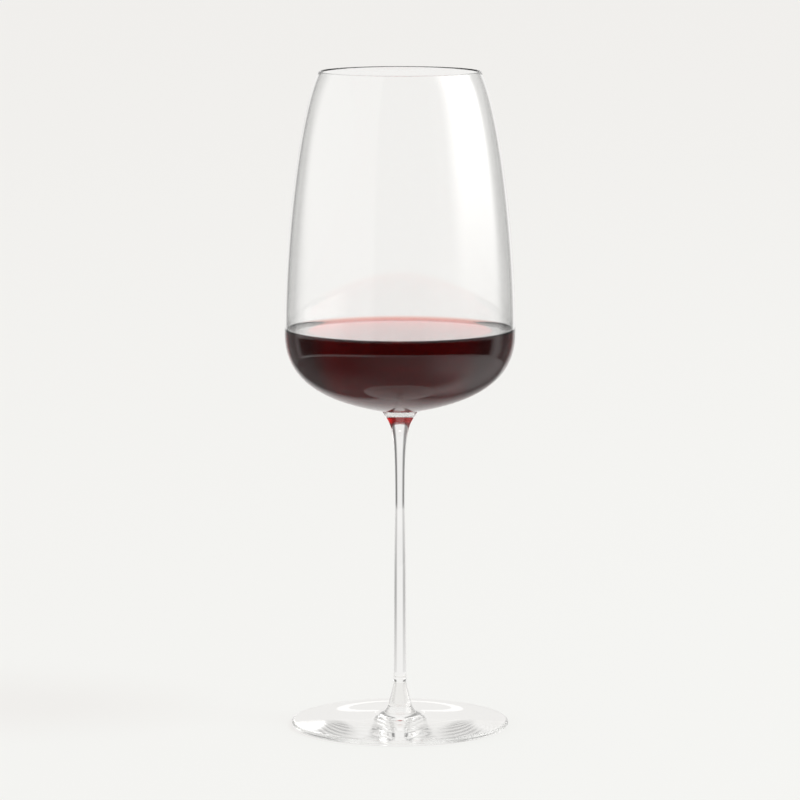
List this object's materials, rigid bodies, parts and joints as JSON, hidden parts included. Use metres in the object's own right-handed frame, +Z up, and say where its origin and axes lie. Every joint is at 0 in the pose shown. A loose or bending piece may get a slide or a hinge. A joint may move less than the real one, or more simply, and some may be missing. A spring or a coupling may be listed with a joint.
{
  "type": "wine glass",
  "caption": "Tall stemmed wine glass with a thin tapered bowl, a slim stem and a round foot, holding red wine up to the bowl's widest level.",
  "frame": {"origin": "middle of the foot, on the surface that the glass stands on", "axes": "+Z up along the axis of symmetry of the glass; it looks the same from every side, so X and Y are free"},
  "size_m": [0.0944, 0.0944, 0.27],
  "materials": {
    "clear_glass": "polished",
    "red_wine": "polished"
  },
  "bodies": {
    "root": {"bowl": "clear_glass", "stem": "clear_glass", "foot": "clear_glass", "wine": "red_wine"}
  },
  "joints": []
}
